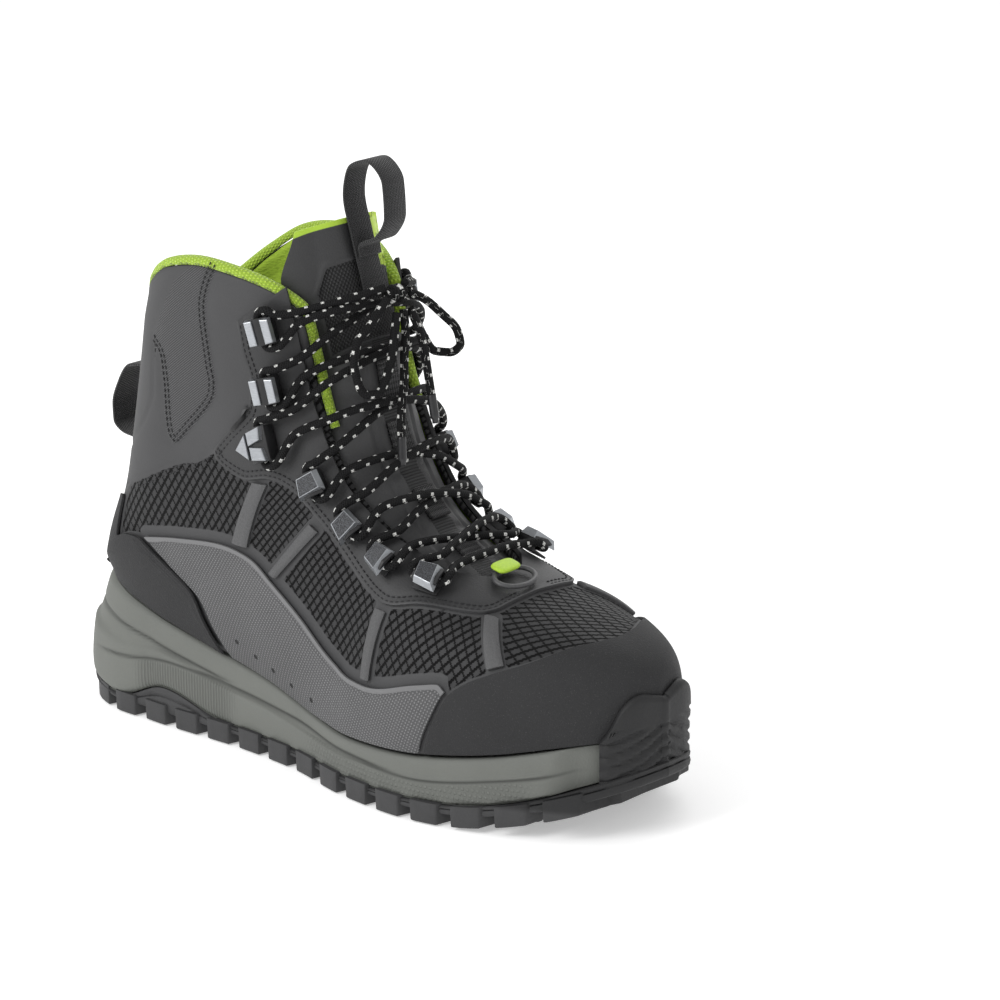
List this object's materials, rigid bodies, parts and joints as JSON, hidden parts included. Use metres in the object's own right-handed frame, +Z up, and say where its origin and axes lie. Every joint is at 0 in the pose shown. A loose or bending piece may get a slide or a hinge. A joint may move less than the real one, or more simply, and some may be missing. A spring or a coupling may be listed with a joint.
{
  "type": "wading boot",
  "caption": "Lace-up wading boot for the right foot with lugged rubber outsole, foam midsole, hook lacing, padded cuff with knit edge, and pull loops at tongue and heel.",
  "frame": {"origin": "on the floor, under the middle of the boot's length and width", "axes": "+X to the toe, +Y to the inner side of the right foot, +Z up"},
  "size_m": [0.3172, 0.113, 0.2562],
  "materials": {
    "outsole_rubber": "satin",
    "midsole_foam": "matte",
    "insole_cloth": "matte",
    "upper_cloth": "matte",
    "cap_leather": "matte",
    "frame_film": "satin",
    "eyestay_film": "satin",
    "lime_knit": "matte",
    "tongue_cloth": "matte",
    "black_webbing": "matte",
    "hook_metal": "satin",
    "ring_plastic": "satin",
    "lace_cord": "matte"
  },
  "bodies": {
    "root": {"collar_edge": "lime_knit", "eyestay": "eyestay_film", "heel_counter": "cap_leather", "heel_loop": "black_webbing", "hook_inner_1": "hook_metal", "hook_inner_2": "hook_metal", "hook_inner_3": "hook_metal", "hook_inner_4": "hook_metal", "hook_inner_5": "hook_metal", "hook_inner_6": "hook_metal", "hook_inner_7": "hook_metal", "hook_outer_1": "hook_metal", "hook_outer_2": "hook_metal", "hook_outer_3": "hook_metal", "hook_outer_4": "hook_metal", "hook_outer_5": "hook_metal", "hook_outer_6": "hook_metal", "hook_outer_7": "hook_metal", "insole": "insole_cloth", "lace_end_inner": "lace_cord", "lace_end_outer": "lace_cord", "lace_keeper_ring": "ring_plastic", "lace_keeper_tab": "lime_knit", "lace_knot": "lace_cord", "lace_loop_inner": "lace_cord", "lace_loop_outer": "lace_cord", "lace_row_1": "lace_cord", "lace_row_2": "lace_cord", "lace_row_3": "lace_cord", "lace_row_4": "lace_cord", "lace_row_5": "lace_cord", "lace_row_6": "lace_cord", "lace_row_7": "lace_cord", "lace_top_inner": "lace_cord", "lace_top_outer": "lace_cord", "midsole": "midsole_foam", "outsole": "outsole_rubber", "side_frame_inner": "frame_film", "side_frame_outer": "frame_film", "strut_inner_1": "frame_film", "strut_inner_2": "frame_film", "strut_inner_3": "frame_film", "strut_inner_4": "frame_film", "strut_outer_1": "frame_film", "strut_outer_2": "frame_film", "strut_outer_3": "frame_film", "strut_outer_4": "frame_film", "toe_cap": "cap_leather", "tongue": "tongue_cloth", "tongue_keeper_1": "black_webbing", "tongue_keeper_2": "black_webbing", "tongue_keeper_3": "black_webbing", "tongue_keeper_4": "black_webbing", "tongue_loop": "black_webbing", "upper": "upper_cloth"}
  },
  "joints": []
}
